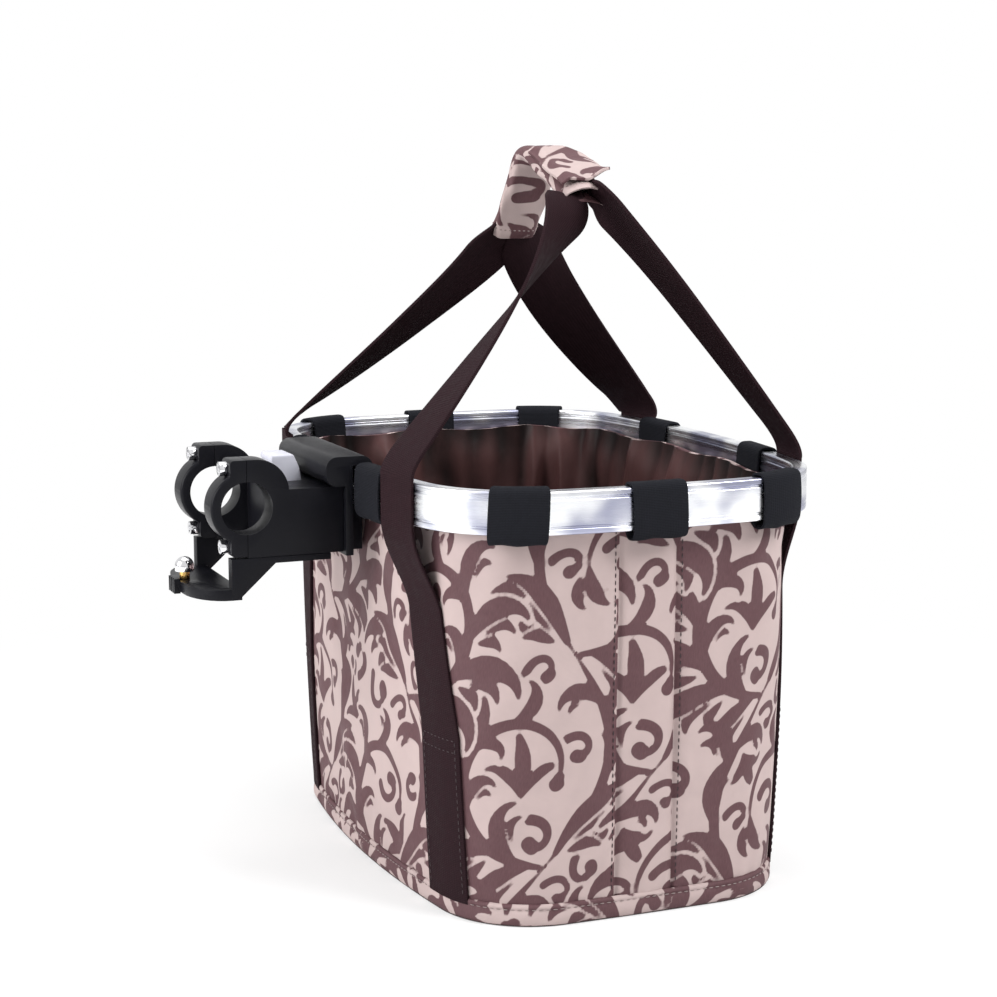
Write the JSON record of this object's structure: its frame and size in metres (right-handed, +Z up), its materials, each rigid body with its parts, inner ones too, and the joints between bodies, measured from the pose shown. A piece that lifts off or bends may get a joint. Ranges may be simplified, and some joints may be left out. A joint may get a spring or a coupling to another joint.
{
  "type": "handlebar basket",
  "caption": "Soft fabric bicycle basket hung from a bent metal rim, with carry straps, a wrapped grip and a quick-release handlebar clamp.",
  "frame": {"origin": "centre of the base's underside, on the surface that the basket stands on", "axes": "+X along the handlebar, +Y towards the rider and the clamp, +Z up"},
  "size_m": [0.3818, 0.3729, 0.4473],
  "materials": {
    "print_cloth": "matte woven cloth with a leaf print",
    "webbing": "dark brown woven webbing",
    "loop_webbing": "black woven webbing",
    "lining": "dark brown satin nylon",
    "base_cloth": "dark coated cloth",
    "board": "matte sheet",
    "tape": "hook and loop tape",
    "rim": "bright extruded",
    "black_plastic": "fine texture",
    "button": "satin",
    "bright_steel": "polished",
    "steel": "zinc plated",
    "brass": "satin"
  },
  "bodies": {
    "base": {"base_panel": "base_cloth", "base_board": "board", "base_hem": "print_cloth", "front_wall": "print_cloth", "rear_wall": "print_cloth", "left_gusset": "print_cloth", "right_gusset": "print_cloth", "side_lining": "lining", "floor_lining": "lining", "top_piping": "print_cloth", "rear_left_wall_strap": "webbing", "rear_right_wall_strap": "webbing", "front_left_wall_strap": "webbing", "front_right_wall_strap": "webbing"},
    "frame": {"rim_hoop": "rim", "rim_splice": "rim", "bracket_shell": "black_plastic", "bracket_keeper": "black_plastic", "bracket_screws": "steel", "loop_left_middle": "loop_webbing", "loop_left_rear": "loop_webbing", "loop_left_front": "loop_webbing", "loop_right_middle": "loop_webbing", "loop_right_rear": "loop_webbing", "loop_right_front": "loop_webbing", "loop_rear_left": "loop_webbing", "loop_rear_right": "loop_webbing", "loop_front_left": "loop_webbing", "loop_front_right": "loop_webbing", "rear_left_strap": "webbing", "rear_right_strap": "webbing", "front_left_strap": "webbing", "front_right_strap": "webbing"},
    "grip": {"rear_strap_top": "webbing", "front_strap_top": "webbing", "grip_wrap": "print_cloth", "loop_tape": "tape"},
    "grip_flap": {"grip_flap": "print_cloth", "hook_tape": "tape"},
    "adapter": {"adapter_housing": "black_plastic", "clamp_saddle_left": "black_plastic", "clamp_saddle_right": "black_plastic", "clamp_cap_left": "black_plastic", "clamp_cap_right": "black_plastic", "clamp_bolts": "bright_steel", "clamp_nuts": "steel", "stay_arm": "black_plastic", "stay_fixings": "steel", "dome_screw": "bright_steel", "cable_sleeve": "brass", "button_spring": "steel"},
    "release_button": {"release_button": "button"}
  },
  "joints": [
    {"name": "basket_fold", "type": "slide", "parent": "base", "child": "frame", "axis": [0, 0, -1], "range_m": [0, 0.14], "deforming": ["front_wall", "rear_wall", "left_gusset", "right_gusset", "side_lining", "top_piping", "rear_left_wall_strap", "rear_right_wall_strap", "front_left_wall_strap", "front_right_wall_strap"]},
    {"name": "handle_drop", "type": "slide", "parent": "frame", "child": "grip", "axis": [0, 0, -1], "range_m": [0, 0.12], "deforming": ["rear_left_strap", "rear_right_strap", "front_left_strap", "front_right_strap"]},
    {"name": "flap_open", "type": "hinge", "parent": "grip", "child": "grip_flap", "pos_m": [-0.02706, 0.0152, 0.44745], "axis": [-0.9405, 0, -0.3397], "range_deg": [0, 110]},
    {"name": "adapter_release", "type": "slide", "parent": "frame", "child": "adapter", "axis": [0, 0, -1], "range_m": [0, 0.03]},
    {"name": "button_press", "type": "slide", "parent": "adapter", "child": "release_button", "axis": [0, 0, -1], "range_m": [0, 0.004], "stiffness_N_per_m": 800, "springref_m": -0.002, "deforming": ["button_spring"]}
  ]
}
